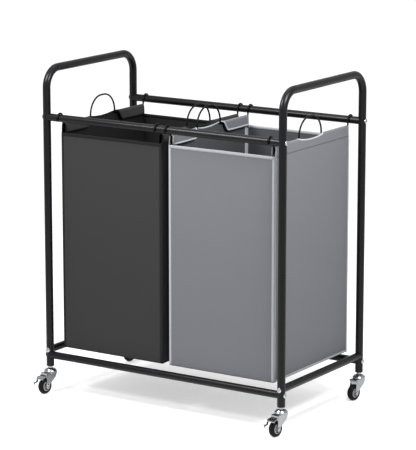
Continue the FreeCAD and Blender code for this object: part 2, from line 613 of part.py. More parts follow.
def sleeve(side, y_low, y_high):
    """Hem folded inwards over the hanger wire, with a flap that hangs inside the bag."""
    x = side * SLEEVE_AXIS_X
    start, end = Vector(x, y_low, SLEEVE_AXIS_Z), Vector(x, y_high, SLEEVE_AXIS_Z)
    fold = pipe(SLEEVE_R, SLEEVE_R - BAG_WALL, start, end)
    below = box(Vector(x - SLEEVE_R - 1, y_low - 1, SLEEVE_AXIS_Z - SLEEVE_R - 1),
                Vector(x + SLEEVE_R + 1, y_high + 1, SLEEVE_AXIS_Z))
    fold = fold.cut(below)
    inner = x - side * SLEEVE_R
    flap_x = sorted((inner, inner + side * BAG_WALL))
    flap = box(Vector(flap_x[0], y_low, BAG_TOP_Z - SLEEVE_DEPTH), Vector(flap_x[1], y_high, SLEEVE_AXIS_Z))
    return fold.fuse(flap)


def bag(centre_x):
    """Open-topped fabric bag: four walls, a floor, and a sleeve along each side wall."""
    half_x, half_y = BAG_WIDTH / 2.0, BAG_DEPTH / 2.0
    outer = rounded_block(half_x, half_y, BAG_BOTTOM_Z, SLEEVE_AXIS_Z, BAG_CORNER_R)
    inner = rounded_block(half_x - BAG_WALL, half_y - BAG_WALL, BAG_BOTTOM_Z + BAG_FLOOR, SLEEVE_AXIS_Z + 1,
                          BAG_CORNER_R - BAG_WALL)
    walls = outer.cut(inner)
    open_x = half_x - BAG_CORNER_R
    walls = walls.cut(box(Vector(-open_x, -half_y - 1, PANEL_TOP_Z), Vector(open_x, half_y + 1, BAG_TOP_Z)))
    cut_r = ((HAND_CUT_LENGTH / 2.0) ** 2 + HAND_CUT_DEPTH ** 2) / (2.0 * HAND_CUT_DEPTH)
    cut_z = BAG_TOP_Z - HAND_CUT_DEPTH + cut_r
    sleeve_end = half_y - SLEEVE_END_GAP
    flap_gap = HAND_CUT_LENGTH / 2.0 + FLAP_CUT_MARGIN
    for side in (-1, 1):
        walls = walls.fuse(sleeve(side, -sleeve_end, HAND_CUT_CENTRE_Y - flap_gap))
        walls = walls.fuse(sleeve(side, HAND_CUT_CENTRE_Y + flap_gap, sleeve_end))
    cut_start = Vector(-half_x - 5, HAND_CUT_CENTRE_Y, cut_z)
    cut_end = Vector(half_x + 5, HAND_CUT_CENTRE_Y, cut_z)
    hand_cut = rod(cut_r, cut_start, cut_end)
    shell = walls.removeSplitter().cut(hand_cut)
    shell.translate(Vector(centre_x, 0, 0))
    return shell


def hanger(x):
    """One steel wire: front hook, run in the sleeve, hand arch, run in the sleeve, back hook."""
    leg_y = POST_Y - HOOK_R
    b = WIRE_BEND_R
    k = b * (1.0 - math.cos(math.radians(45)))
    tail_z = TOP_RAIL_Z - HOOK_TAIL
    half = HANDLE_ARCH_WIDTH / 2.0
    centre_y = HAND_CUT_CENTRE_Y
    arch_base = WIRE_Z + b
    rise = HANDLE_ARCH_RISE - b
    shoulder = half - rise

    def at(y, z):
        return Vector(x, y, z)

    q = rise * math.cos(math.radians(45))
    front_leg, back_leg = centre_y - half, centre_y + half
    edges = [line(at(-POST_Y - HOOK_R, tail_z), at(-POST_Y - HOOK_R, TOP_RAIL_Z))]
    edges += [arc(at(-POST_Y - HOOK_R, TOP_RAIL_Z), at(-POST_Y, TOP_RAIL_Z + HOOK_R), at(-leg_y, TOP_RAIL_Z))]
    edges += [line(at(-leg_y, TOP_RAIL_Z), at(-leg_y, WIRE_Z + b))]
    edges += [arc(at(-leg_y, WIRE_Z + b), at(-leg_y + k, WIRE_Z + k), at(-leg_y + b, WIRE_Z))]
    edges += [line(at(-leg_y + b, WIRE_Z), at(front_leg - b, WIRE_Z))]
    edges += [arc(at(front_leg - b, WIRE_Z), at(front_leg - k, WIRE_Z + k), at(front_leg, arch_base))]
    edges += [arc(at(front_leg, arch_base), at(front_leg + rise - q, arch_base + q),
                  at(centre_y - shoulder, arch_base + rise))]
    edges += [line(at(centre_y - shoulder, arch_base + rise), at(centre_y + shoulder, arch_base + rise))]
    edges += [arc(at(centre_y + shoulder, arch_base + rise), at(back_leg - rise + q, arch_base + q),
                  at(back_leg, arch_base))]
    edges += [arc(at(back_leg, arch_base), at(back_leg + k, WIRE_Z + k), at(back_leg + b, WIRE_Z))]
    edges += [line(at(back_leg + b, WIRE_Z), at(leg_y - b, WIRE_Z))]
    edges += [arc(at(leg_y - b, WIRE_Z), at(leg_y - k, WIRE_Z + k), at(leg_y, WIRE_Z + b))]
    edges += [line(at(leg_y, WIRE_Z + b), at(leg_y, TOP_RAIL_Z))]
    edges += [arc(at(leg_y, TOP_RAIL_Z), at(POST_Y, TOP_RAIL_Z + HOOK_R), at(POST_Y + HOOK_R, TOP_RAIL_Z))]
    edges += [line(at(POST_Y + HOOK_R, TOP_RAIL_Z), at(POST_Y + HOOK_R, tail_z))]
    return swept(WIRE_R, edges, at(-POST_Y - HOOK_R, tail_z), Z_AXIS)


# ---------------------------------------------------------------- assembly
def build_frame():
    nodes = {}
    for side, sx in (("left", -1), ("right", 1)):
        nodes[side + "_handle_frame"] = handle_frame(sx * POST_X)
        nodes[side + "_side_rail"] = rail(Vector(sx * POST_X, -POST_Y, SIDE_RAIL_Z),
                                          Vector(sx * POST_X, POST_Y, SIDE_RAIL_Z))
    for side, sy in (("front", -1), ("back", 1)):
        for level, z in (("top", TOP_RAIL_Z), ("bottom", BOTTOM_RAIL_Z)):
            start, end = Vector(-POST_X, sy * POST_Y, z), Vector(POST_X, sy * POST_Y, z)
            nodes[side + "_" + level + "_rail"] = rail(start, end)
    for name, (sx, sy) in CORNERS.items():
        nodes[name + "_leg"] = leg(sx * POST_X, sy * POST_Y)
    nodes["rail_nut_plugs"] = Part.makeCompound([nut_plug(c, d) for c, d in rail_ends()])
    nodes["frame_bolts"] = Part.makeCompound([frame_bolt(c, d) for c, d in rail_ends()])
    sockets = [stem_socket(sx * POST_X, sy * POST_Y) for sx, sy in CORNERS.values()]
    nodes["caster_sockets"] = Part.makeCompound(sockets)
    return nodes


def build_casters():
    nodes = {}
    balls = []
    for name, (sx, sy) in CORNERS.items():
        braked = sy < 0
        nodes[name + "_caster_stem"] = placed(caster_stem(), name)
        nodes[name + "_raceway_cap"] = placed(raceway_cap(), name)
        balls += [placed(ball, name) for ball in bearing_balls()]
        nodes[name + "_fork"] = placed(fork(braked), name)
        nodes[name + "_axle"] = Part.makeCompound([placed(piece, name) for piece in axle_parts()])
        nodes[name + "_tyre"] = placed(tyre(), name)
        nodes[name + "_hub"] = placed(hub(), name)
        if braked:
            nodes[name + "_brake_pedal"] = placed(brake_pedal(), name)
            nodes[name + "_brake_pin"] = placed(brake_pin(), name)
    nodes["caster_balls"] = Part.makeCompound(balls)
    return nodes


def build_bags():
    nodes = {}
    for name, sx in (("black", -1), ("gray", 1)):
        centre = BAG_SHIFT + sx * BAG_SPACING / 2.0
        nodes[name + "_bag"] = bag(centre)
        for side, s in (("left", -1), ("right", 1)):
            nodes[name + "_bag_" + side + "_hanger"] = hanger(centre + s * SLEEVE_AXIS_X)
    return nodes


def main():
    os.makedirs("parts", exist_ok=True)
    nodes = {}
    nodes.update(build_frame())
    nodes.update(build_casters())
    nodes.update(build_bags())
    for name, shape in nodes.items():
        state = "valid" if shape.isValid() else "NOT VALID"
        print(name, len(shape.Solids), "solid(s)", round(shape.Volume), "mm3", state)
        shape.exportStep("parts/" + name + ".step")
    print(len(nodes), "nodes")


main()
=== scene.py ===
# %% [markdown]
# # A laundry sorter on wheels
# A tube frame carries two fabric bags on wire hangers and rolls on four swivel casters.
# The frame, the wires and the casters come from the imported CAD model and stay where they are:
# this file gives them their finishes, sews the two bags, and sets the floor, the light and the camera.

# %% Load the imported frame
import json
import math

import bmesh
import bpy
import numpy as np
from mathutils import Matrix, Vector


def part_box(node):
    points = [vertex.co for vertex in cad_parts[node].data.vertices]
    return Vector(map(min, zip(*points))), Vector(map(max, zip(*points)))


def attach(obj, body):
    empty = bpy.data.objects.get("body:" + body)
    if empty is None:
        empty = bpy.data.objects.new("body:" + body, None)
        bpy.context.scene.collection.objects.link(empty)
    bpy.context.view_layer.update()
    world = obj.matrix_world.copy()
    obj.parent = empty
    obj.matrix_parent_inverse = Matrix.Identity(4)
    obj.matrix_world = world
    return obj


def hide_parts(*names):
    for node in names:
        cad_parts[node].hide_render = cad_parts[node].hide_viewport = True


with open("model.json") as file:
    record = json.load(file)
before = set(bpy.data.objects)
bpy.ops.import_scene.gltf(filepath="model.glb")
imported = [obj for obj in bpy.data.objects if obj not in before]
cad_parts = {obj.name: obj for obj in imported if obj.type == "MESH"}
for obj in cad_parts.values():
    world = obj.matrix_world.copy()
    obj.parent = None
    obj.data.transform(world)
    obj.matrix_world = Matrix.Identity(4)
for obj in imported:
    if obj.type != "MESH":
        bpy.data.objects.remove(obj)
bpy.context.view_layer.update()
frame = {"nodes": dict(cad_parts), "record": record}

MM = 0.001

# %% [markdown]
# ## The camera
# A long lens a few metres away keeps the posts almost upright. The camera looks at a point near the
# middle of the frame, from the front right and a little above, given by two angles and a distance.

# %% Camera
CAMERA_AZIMUTH = math.radians(33.13)
CAMERA_ELEVATION = math.radians(11.96)
CAMERA_DISTANCE = 6.2
CAMERA_LENS = 193.1
CAMERA_AIM_SHIFT = (-0.0405, 0.0812, 0.0027)

frame_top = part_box("right_handle_frame")[1].z
aim = [CAMERA_AIM_SHIFT[0], CAMERA_AIM_SHIFT[1], frame_top / 2 + CAMERA_AIM_SHIFT[2]]
back = [math.sin(CAMERA_AZIMUTH) * math.cos(CAMERA_ELEVATION),
        -math.cos(CAMERA_AZIMUTH) * math.cos(CAMERA_ELEVATION),
        math.sin(CAMERA_ELEVATION)]
camera_data = bpy.data.cameras.new("camera")
camera_data.lens = CAMERA_LENS
camera_data.clip_end = 100
camera = bpy.data.objects.new("camera", camera_data)
camera.location = [a + b * CAMERA_DISTANCE for a, b in zip(aim, back)]
camera.rotation_euler = (math.pi / 2 - CAMERA_ELEVATION, 0, CAMERA_AZIMUTH)
bpy.context.scene.collection.objects.link(camera)
bpy.context.scene.camera = camera
bpy.context.scene.view_settings.view_transform = "Standard"
print("camera at", [round(v, 3) for v in camera.location])

# %% [markdown]
# ## Light
# Soft square lamps stand in for studio panels: a weak wide one overhead for the tops of the bags, one
# in front on the left for the front panels, and one on the right for the side. Both side lamps stand
# high, so that the bags are lighter at the top than at the foot. A white world fills in the rest.

# %% Lamps and world
WORLD_STRENGTH = 0.9


def area_lamp(name, place, target, size, watts):
    """A square area lamp at a place, turned to face a target."""
    data = bpy.data.lights.new(name, "AREA")
    data.size = size
    data.energy = watts
    lamp = bpy.data.objects.new(name, data)
    lamp.location = place
    toward = np.array(target, float) - np.array(place, float)
    flat = math.hypot(toward[0], toward[1])
    lamp.rotation_euler = (math.atan2(flat, -toward[2]), 0, math.atan2(toward[1], toward[0]) - math.pi / 2)
    bpy.context.scene.collection.objects.link(lamp)
    return lamp


area_lamp("overhead_panel", (0.0, 0.0, 1.9), (0.0, 0.0, 0.5), 1.0, 6)
area_lamp("front_panel", (-0.45, -0.95, 1.55), (0.0, -0.15, 0.9), 0.5, 27)
area_lamp("right_panel", (1.0, -0.45, 1.5), (0.33, -0.1, 0.9), 0.4, 29)

world = bpy.data.worlds.new("studio")
world.use_nodes = True
world.node_tree.nodes["Background"].inputs["Color"].default_value = (1.0, 1.0, 1.0, 1.0)
world.node_tree.nodes["Background"].inputs["Strength"].default_value = WORLD_STRENGTH
bpy.context.scene.world = world
print("lamps:", len(bpy.data.lights))

# %% [markdown]
# ## Building surfaces from arrays
# Each new piece is a grid of points worked out at once with numpy. A few small helpers do the rest:
# one numbers the faces of a grid, one joins patches into a mesh with its texture map, one carries a
# flat profile along a path, and one lays a row of stitches.

# %% Grids, sweeps, stitches and meshes
def grid_faces(rows, columns, wrap=False):
    """Quads of a grid stored row by row; wrap closes each row on itself."""
    last = columns if wrap else columns - 1
    r = np.arange(rows - 1)[:, None]
    c = np.arange(last)[None, :]
    right = (c + 1) % columns
    corners = [r * columns + c, r * columns + right, (r + 1) * columns + right, (r + 1) * columns + c]
    return np.stack([np.broadcast_to(k, (rows - 1, last)) for k in corners], -1).reshape(-1, 4)


def unit(vectors):
    """Each vector divided by its own length."""
    return vectors / np.linalg.norm(vectors, axis=-1, keepdims=True)


def distance_run(path):
    """Distance from the path's first point, point by point: the running sum of the step lengths."""
    return np.concatenate([[0.0], np.cumsum(np.linalg.norm(np.diff(path, axis=0), axis=1))])


def make_piece(name, patches, body, materials, merge=0.0):
    """One mesh object from patches of (points, face arrays, uv); uv is in metres, point by point.
    Points nearer than merge become one, so that patches that meet are sewn together."""
    points, uvs, faces, start = [], [], [], 0
    for patch_points, face_arrays, patch_uv in patches:
        points.append(patch_points.reshape(-1, 3))
        uvs.append(patch_uv.reshape(-1, 2))
        for array in face_arrays:
            faces += (array + start).tolist()
        start += len(points[-1])
    points, uvs = np.concatenate(points), np.concatenate(uvs)
    mesh = bpy.data.meshes.new(name)
    mesh.from_pydata(points.tolist(), [], faces)
    loops = np.zeros(len(mesh.loops), np.int32)
    mesh.loops.foreach_get("vertex_index", loops)
    layer = mesh.uv_layers.new(name="cloth")
    layer.data.foreach_set("uv", uvs[loops].astype(np.float32).ravel())
    if merge:
        sewn = bmesh.new()
        sewn.from_mesh(mesh)
        bmesh.ops.remove_doubles(sewn, verts=sewn.verts, dist=merge)
        sewn.to_mesh(mesh)
        sewn.free()
    mesh.shade_smooth()
    for material in materials:
        mesh.materials.append(material)
    piece = bpy.data.objects.new(name, mesh)
    bpy.context.scene.collection.objects.link(piece)
    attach(piece, body)
    return piece


def mirrored(patch):
    """The same patch on the other side of the plane x = 0, with its faces turned to stay outward."""
    points, face_arrays, uv = patch
    return points * np.array([-1.0, 1.0, 1.0]), [array[:, ::-1] for array in face_arrays], uv


def moved(patch, offset):
    """The same patch shifted by one vector."""
    return patch[0] + np.asarray(offset), patch[1], patch[2]


def carried(path, side, up, profile):
    """A closed flat profile (side, up pairs) carried along a path, with its two ends capped.
    Each point is the path's point plus side times the first number plus up times the second."""
    ring = path[:, None, :] + profile[None, :, :1] * side[:, None, :] + profile[None, :, 1:] * up[:, None, :]
    rows, columns = ring.shape[:2]
    points = np.concatenate([ring.reshape(-1, 3), ring[:1].mean(1), ring[-1:].mean(1)])
    k = np.arange(columns)
    after = (k + 1) % columns
    hub = rows * columns
    first = np.stack([after, k, np.full(columns, hub)], -1)
    last = np.stack([k + hub - columns, after + hub - columns, np.full(columns, hub + 1)], -1)
    along = distance_run(path)
    across = distance_run(profile)
    uv = np.stack(np.broadcast_arrays(across[None, :], along[:, None]), -1).reshape(-1, 2)
    uv = np.concatenate([uv, [[0.0, 0.0], [0.0, along[-1]]]])
    return points, [grid_faces(rows, columns, wrap=True), first, last], uv


def stitch_row(path, normal, pitch, lift):
    """Centres, directions and normals of stitches every pitch along a path, raised off it by lift."""
    along = distance_run(path)
    places = np.arange(pitch, along[-1] - pitch / 2, pitch)
    centre = np.stack([np.interp(places, along, path[:, k]) for k in range(3)], -1)
    ahead = np.stack([np.interp(places + pitch / 8, along, path[:, k]) for k in range(3)], -1)
    facing = unit(np.stack([np.interp(places, along, normal[:, k]) for k in range(3)], -1))
    return centre + facing * lift, unit(ahead - centre), facing


def stitches(name, rows, length, radius, body, material):
    """Thread beads on stitch rows. Each bead has a point, three six-sided rings and a point: its
    corners are its centre plus the direction times a length plus two cross directions times a radius."""
    centre, direction, facing = [np.concatenate(parts) for parts in zip(*rows)]
    cross = unit(np.cross(direction, facing))
    angle = np.arange(6) * math.pi / 3
    reach = np.array([-0.34, 0.0, 0.34]) * length
    girth = np.array([0.8, 1.0, 0.8]) * radius
    steps = np.concatenate([[-0.5 * length], np.repeat(reach, 6), [0.5 * length]])
    wide = np.concatenate([[0.0], (girth[:, None] * np.cos(angle)).ravel(), [0.0]])
    high = np.concatenate([[0.0], (girth[:, None] * np.sin(angle)).ravel(), [0.0]])
    points = (centre[:, None] + steps[None, :, None] * direction[:, None]
              + wide[None, :, None] * cross[:, None] + high[None, :, None] * facing[:, None])
    k = np.arange(6)
    after = (k + 1) % 6
    start = np.stack([after + 1, k + 1, np.zeros(6, int)], -1)
    end = np.stack([k + 13, after + 13, np.full(6, 19)], -1)
    sides = grid_faces(3, 6, wrap=True) + 1
    offset = (np.arange(len(centre)) * 20)[:, None, None]
    face_arrays = [(array[None] + offset).reshape(-1, array.shape[1]) for array in (sides, start, end)]
    uv = np.zeros((len(centre) * 20, 2))
    return make_piece(name, [(points.reshape(-1, 3), face_arrays, uv)], body, [material])


def thicken(piece, thickness, rim_material=0, inner_material=0):
    """Give a one-sided sheet its thickness, inward from the modelled face."""
    solid = piece.modifiers.new("cloth thickness", "SOLIDIFY")
    solid.thickness = thickness
    solid.offset = -1
    solid.material_offset = inner_material
    solid.material_offset_rim = rim_material


print("helpers ready")

# %% [markdown]
# ## Finishes
# One function turns a hex colour into the numbers the shader wants, and one adds a node and wires it.
# Patterns are sized from real millimetres. The metal and plastic pieces use each object's own
# coordinates in metres; the cloth pieces use their own texture map, which is also in metres.

# %% Materials
def ink(hex_colour):
    """An sRGB hex colour as linear red, green, blue and alpha: each value divided by 255, then
    divided by 12.92 when it is small, or else shifted by 0.055, scaled by 1.055 and raised to 2.4."""
    value = np.array([int(hex_colour[k:k + 2], 16) for k in (1, 3, 5)]) / 255
    linear = np.where(value <= 0.04045, value / 12.92, ((value + 0.055) / 1.055) ** 2.4)
    return (*linear.tolist(), 1.0)


def add(tree, kind, inputs=(), **settings):
    """Add one node. Settings are its own properties; inputs are sockets to wire or constants."""
    node = tree.nodes.new(kind)
    for key, value in settings.items():
        setattr(node, key, value)
    for key, value in dict(inputs).items():
        if isinstance(value, bpy.types.NodeSocket):
            tree.links.new(value, node.inputs[key])
        else:
            node.inputs[key].default_value = value
    return node


def new_material(name, hex_colour, roughness, metallic=0.0, **sockets):
    """A named material with its shader's own sockets set; returns the material, its tree and shader."""
    material = bpy.data.materials.new(name)
    material.use_nodes = True
    tree = material.node_tree
    shader = tree.nodes["Principled BSDF"]
    values = {"Base Color": ink(hex_colour), "Roughness": roughness, "Metallic": metallic}
    for key, value in {**values, **{k.replace("_", " "): v for k, v in sockets.items()}}.items():
        shader.inputs[key].default_value = value
    return material, tree, shader


def feature_scale(size):
    """Noise scale whose blobs are about one size across, in metres: one over the size."""
    return 1.0 / size


def wave_scale(period):
    """Wave texture scale for one period in metres: the texture's own wave is two pi over twenty."""
    return 2 * math.pi / (20 * period)


def grained(name, hex_colour, roughness, spread, grain, height, metallic=0.0, patch=0.05, **sockets):
    """A hard finish: fine grain in the surface and slow patches in its gloss, both in real sizes."""
    material, tree, shader = new_material(name, hex_colour, roughness, metallic, **sockets)
    place = add(tree, "ShaderNodeTexCoord").outputs["Object"]
    fine = add(tree, "ShaderNodeTexNoise", {"Vector": place, "Scale": feature_scale(grain), "Detail": 2.0})
    slow = add(tree, "ShaderNodeTexNoise", {"Vector": place, "Scale": feature_scale(patch), "Detail": 3.0})
    gloss = add(tree, "ShaderNodeMapRange", {"Value": slow.outputs["Fac"], "From Min": 0.3, "From Max": 0.7,
                                             "To Min": roughness - spread, "To Max": roughness + spread})
    bump = add(tree, "ShaderNodeBump", {"Height": fine.outputs["Fac"], "Strength": 1.0, "Distance": height})
    tree.links.new(gloss.outputs["Result"], shader.inputs["Roughness"])
    tree.links.new(bump.outputs["Normal"], shader.inputs["Normal"])
    return material


def woven(name, hex_colour, roughness, pitch, height, streak, sheen):
    """Plain-weave polyester: warp and weft waves multiply into small squares that rise and sink, and
    threads of slightly different shade run along both directions. A real thread is near 0.5 mm; the
    pattern is drawn coarser so that it can still be seen at this distance."""
    material, tree, shader = new_material(name, hex_colour, roughness, Sheen_Weight=sheen,
                                          Sheen_Roughness=0.5, Specular_IOR_Level=0.2)
    place = add(tree, "ShaderNodeUVMap", uv_map="cloth").outputs["UV"]
    waves = [add(tree, "ShaderNodeTexWave", {"Vector": place, "Scale": wave_scale(pitch), "Distortion": 0.0},
                 bands_direction=axis).outputs["Fac"] for axis in ("X", "Y")]
    cell = add(tree, "ShaderNodeMath", {0: waves[0], 1: waves[1]}, operation="MULTIPLY")
    threads = []
    for stretch in ((feature_scale(pitch), 6.0, 1.0), (6.0, feature_scale(pitch), 1.0)):
        laid = add(tree, "ShaderNodeVectorMath", {0: place, 1: stretch}, operation="MULTIPLY")
        threads.append(add(tree, "ShaderNodeTexNoise", {"Vector": laid.outputs["Vector"], "Scale": 1.0,
                                                        "Detail": 1.0}).outputs["Fac"])
    shade = add(tree, "ShaderNodeMath", {0: threads[0], 1: threads[1]}, operation="ADD")
    tint = add(tree, "ShaderNodeMapRange", {"Value": shade.outputs["Value"], "From Min": 0.7, "From Max": 1.3,
                                            "To Min": 1.0 - streak, "To Max": 1.0 + streak})
    colour = add(tree, "ShaderNodeVectorMath", {0: ink(hex_colour)[:3]}, operation="SCALE")
    tree.links.new(tint.outputs["Result"], colour.inputs["Scale"])
    bump = add(tree, "ShaderNodeBump", {"Height": cell.outputs["Value"], "Strength": 1.0, "Distance": height})
    tree.links.new(colour.outputs["Vector"], shader.inputs["Base Color"])
    tree.links.new(bump.outputs["Normal"], shader.inputs["Normal"])
    return material


def ribbed(name, hex_colour, roughness, pitch, height):
    """Woven binding tape: fine ribs across its length."""
    material, tree, shader = new_material(name, hex_colour, roughness, Specular_IOR_Level=0.2)
    place = add(tree, "ShaderNodeUVMap", uv_map="cloth").outputs["UV"]
    ribs = add(tree, "ShaderNodeTexWave", {"Vector": place, "Scale": wave_scale(pitch)}, bands_direction="Y")
    bump = add(tree, "ShaderNodeBump", {"Height": ribs.outputs["Fac"], "Strength": 1.0, "Distance": height})
    tree.links.new(bump.outputs["Normal"], shader.inputs["Normal"])
    return material


# black powder coat baked on the steel tubes: a faint orange peel about 1.2 mm across
powder_coat = grained("black powder-coated steel tube", "#08080a", 0.33, 0.05, 1.2 * MM, 0.03 * MM,
                      Specular_IOR_Level=0.16)
# thinner coat on the drawn wire of the hangers
coated_wire = grained("black coated steel wire", "#050506", 0.38, 0.04, 0.8 * MM, 0.015 * MM,
                     Specular_IOR_Level=0.08)
# electroplated pressings of the casters
chrome = grained("chromed pressed steel", "#8f9093", 0.22, 0.07, 0.6 * MM, 0.008 * MM, 1.0, 0.012)
# bright zinc on the button-head bolts
zinc = grained("bright zinc-plated bolt", "#a6a7aa", 0.30, 0.05, 0.5 * MM, 0.006 * MM, 1.0, 0.01)
# turned and drawn steel of the axles and pins
turned_steel = grained("turned steel", "#7d7e80", 0.32, 0.05, 0.4 * MM, 0.008 * MM, 1.0, 0.01)
# moulded thermoplastic rubber of the tyres
tyre_rubber = grained("moulded tyre rubber", "#060607", 0.62, 0.08, 0.7 * MM, 0.03 * MM, 0.0, 0.01,
                     Specular_IOR_Level=0.12)
# injection-moulded wheel centres
hub_plastic = grained("moulded gray wheel centre", "#828386", 0.42, 0.05, 0.6 * MM, 0.01 * MM, 0.0, 0.02)
# injection-moulded sockets in the feet of the legs
nylon = grained("moulded black nylon", "#151516", 0.48, 0.04, 0.5 * MM, 0.01 * MM, 0.0, 0.02)

SLOT_FINISH = {"black_powder_coat": powder_coat, "wire_black": coated_wire, "zinc_steel": zinc,
               "plain_steel": turned_steel, "caster_chrome": chrome, "socket_plastic": nylon,
               "tyre_rubber": tyre_rubber, "hub_plastic": hub_plastic}

WEAVE_PITCH = 1.6 * MM
TAPE_RIB = 1.5 * MM
OUTSIDE_RELIEF, INSIDE_RELIEF, RIB_RELIEF = 0.08 * MM, 0.04 * MM, 0.06 * MM


def bag_cloth(outside, inside, tape, thread, seam, streak):
    """The five finishes of one bag, each from its name and colour. Streak is how far the shade of the
    threads on the outside strays from one, up and down."""
    return {"outside": woven(*outside, 0.85, WEAVE_PITCH, OUTSIDE_RELIEF, streak, 0.03),
            "inside": woven(*inside, 0.7, WEAVE_PITCH, INSIDE_RELIEF, 0.02, 0.0),
            "tape": ribbed(*tape, 0.8, TAPE_RIB, RIB_RELIEF),
            "thread": new_material(*thread, 0.7)[0],
            "seam": new_material(*seam, 0.8)[0]}


# polyester cloth woven from dyed yarn, woven tape, spun sewing thread; the inside faces are darker than the
# outside, as painted shade inside the bags
CLOTH = {
    "black_bag": bag_cloth(("black polyester weave", "#232324"), ("black cloth inside, darkened as painted shade", "#0e0e0f"),
                           # the black tape is darker than the black cloth, as painted shade in the narrow gap
                           # between the two bags, where a corner tape shows
                           ("black binding tape, darkened as painted gap shade", "#0c0c0d"), ("black sewing thread", "#141415"),
                           ("black seam thread", "#070708"), 0.03),
    "gray_bag": bag_cloth(("gray polyester weave", "#57585c"), ("gray cloth inside, darkened as painted shade", "#393a3d"),
                          ("white binding tape", "#8f9094"), ("pale gray sewing thread", "#6b6c6f"),
                          ("dark gray seam thread", "#2c2d2f"), 0.025)}
print("materials:", len(bpy.data.materials))

# %% Finishes on the frame and the casters
finished = 0
for entry in frame["record"]["subparts"]:
    finish = SLOT_FINISH.get(entry["material_slot"])
    if finish:
        node = frame["nodes"][entry["node"]]
        node.data.materials.clear()
        node.data.materials.append(finish)
        finished += 1
print("finished:", finished, "pieces")

# %% [markdown]
# ## The shape of a bag
# Each bag is an upright rectangle in plan, with small round corners. Going once round that outline
# gives every wall its place from two numbers: the distance run round the outline and the height.
# Each wall sinks in a few millimetres towards its middle and carries slow ripples, as cloth does
# when it hangs from its two side walls; the corner edges stay straight, held by their binding.

# %% Bag outline and walls
CORNER_R = 3 * MM
PANEL_DROP = 27 * MM
COLUMN_PITCH = 4 * MM
WALL_ROWS = 78
CLOTH_THICKNESS = 0.9 * MM
PANEL_SINK = 2.2 * MM
SIDE_SINK = 2.6 * MM
FLOOR_SAG = 3.5 * MM


def bag_form(node_name, seed):
    """The bag's sizes from its CAD box, and its outline as a table: points, outward directions and
    the distance run, counter-clockwise from the left end of the front panel."""
    low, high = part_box(node_name)
    half_x, half_y = (high.x - low.x) / 2, (high.y - low.y) / 2
    turn = np.linspace(-math.pi / 2, 0, 6)
    angle = np.concatenate([turn + k * math.pi / 2 for k in range(4)])
    corner = np.repeat([(1, -1), (1, 1), (-1, 1), (-1, -1)], 6, axis=0)
    centre = corner * np.array([half_x - CORNER_R, half_y - CORNER_R])
    outward = np.stack([np.cos(angle), np.sin(angle)], -1)
    outline = centre + CORNER_R * outward
    outline, outward = np.concatenate([outline[-1:], outline]), np.concatenate([outward[-1:], outward])
    run = distance_run(outline)
    panels = [(run[6 * k], run[6 * k + 1]) for k in range(4)]
    corners = [(run[6 * k + 1], run[6 * k + 6]) for k in range(4)]
    return {"x": (low.x + high.x) / 2, "half_x": half_x, "half_y": half_y, "bottom": low.z, "top": high.z,
            "panel_top": high.z - PANEL_DROP, "outline": outline, "outward": outward, "run": run,
            "panels": panels, "corners": corners, "seed": seed}


def smooth(value):
    """Slow start and slow end between 0 and 1: three times the square less twice the cube."""
    value = np.clip(value, 0, 1)
    return value * value * (3 - 2 * value)


def standing_out(bag, s, z):
    """How far a wall stands out of its flat outline at distance s and height z, in metres. The sink
    is a half sine across the wall; the ripples are three slow sines, faded out at the wall's edges.
    The side walls come back to flat at the top, where they go on into the sleeves."""
    v = (z - bag["bottom"]) / (bag["panel_top"] - bag["bottom"])
    total = np.zeros(np.broadcast(s, z).shape)
    for k, (start, end) in enumerate(bag["panels"]):
        u = np.clip((s - start) / (end - start), 0, 1)
        side_wall = k % 2 == 1
        sink = SIDE_SINK if side_wall else PANEL_SINK
        held_at_top = np.sin(math.pi * np.clip(v, 0, 1)) ** 0.6
        upright = held_at_top if side_wall else smooth(v / 0.25) * (1 - 0.35 * v)
        phase = bag["seed"] + 1.7 * k
        ripple = (0.35 * np.sin(2 * math.pi * (1.3 * u + 0.7 * v) + phase)
                  + 0.25 * np.sin(2 * math.pi * (2.6 * u - 1.1 * v) + 2 * phase)
                  + 0.20 * np.sin(2 * math.pi * (0.8 * u + 3.2 * v) + 3 * phase)) * MM
        edge = np.sin(math.pi * u)
        total = total + edge * upright * (ripple - sink * edge)
    return total


def on_wall(bag, s, z, lift):
    """Points on the bag's outside, raised along the outline's outward direction by lift; and that
    direction. The place is the outline's point plus the outward direction times the two distances."""
    s, z = np.broadcast_arrays(np.asarray(s, float), np.asarray(z, float))
    x, y = [np.interp(s, bag["run"], bag["outline"][:, k]) for k in (0, 1)]
    nx, ny = [np.interp(s, bag["run"], bag["outward"][:, k]) for k in (0, 1)]
    out = standing_out(bag, s, z) + lift
    points = np.stack([x + nx * out, y + ny * out, z], -1)
    return points, np.stack([nx, ny, np.zeros_like(z)], -1)


bags = {"black_bag": bag_form("black_bag", 0.4), "gray_bag": bag_form("gray_bag", 2.1)}
for name, bag in bags.items():
    print(name, "outline", round(bag["run"][-1] / MM), "mm round, walls",
          round((bag["panel_top"] - bag["bottom"]) / MM), "mm high")

# %% [markdown]
# ## The side walls' upper ends
# Above the panels each side wall goes up, folds inwards over the hanger wire and comes down as a flap
# inside the bag. In the middle it is cut away in a shallow curve, so that a hand can take the wire
# handle. The same two numbers place every point: the distance up the cloth and the place along Y.

# %% Sleeve, flap and hand cut-out
FOLD_R = 5.5 * MM
FLAP_END_DROP = 26 * MM
HAND_CUT_Y = -6 * MM
HAND_CUT_HALF = 57 * MM
HAND_CUT_DEPTH = 6 * MM
FRONT_RAMP = 8 * MM
BACK_RAMP = 26 * MM
STEP_PITCH = 0.4 * MM
FLAP_ROWS = 37


